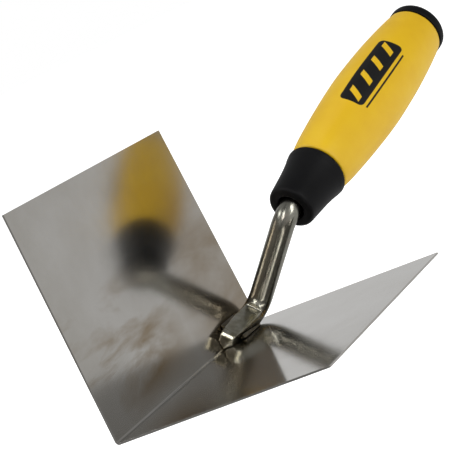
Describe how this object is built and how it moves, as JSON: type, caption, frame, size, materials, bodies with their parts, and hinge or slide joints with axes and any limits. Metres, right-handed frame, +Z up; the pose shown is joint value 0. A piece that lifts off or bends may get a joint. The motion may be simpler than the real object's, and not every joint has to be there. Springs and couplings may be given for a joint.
{
  "type": "inside corner trowel",
  "caption": "Hand trowel with a right-angle folded steel blade, a cranked round shank welded in the fold, and a swelling moulded handle.",
  "frame": {"origin": "middle of the outer face of the wing that the tool lies on, level with half the fold's length and half the wing's width", "axes": "+X across that wing, away from the fold; +Y along the fold, towards the handle; +Z up, along the standing wing"},
  "size_m": [0.0914, 0.2388, 0.0915],
  "materials": {
    "blade_stainless": "fine polished cold-rolled stainless sheet",
    "shank_steel": "tumbled bright bar, slightly oiled",
    "weld_metal": "as welded, wiped",
    "grip_yellow": "satin moulded polypropylene",
    "black_rubber": "fine matt moulded elastomer",
    "core_plastic": "plain moulded"
  },
  "bodies": {
    "root": {"blade": "blade_stainless", "shank": "shank_steel", "weld_right": "weld_metal", "weld_left": "weld_metal", "front_ferrule": "black_rubber", "grip_sleeve": "grip_yellow", "handle_core": "core_plastic", "end_cap": "black_rubber"}
  },
  "joints": []
}
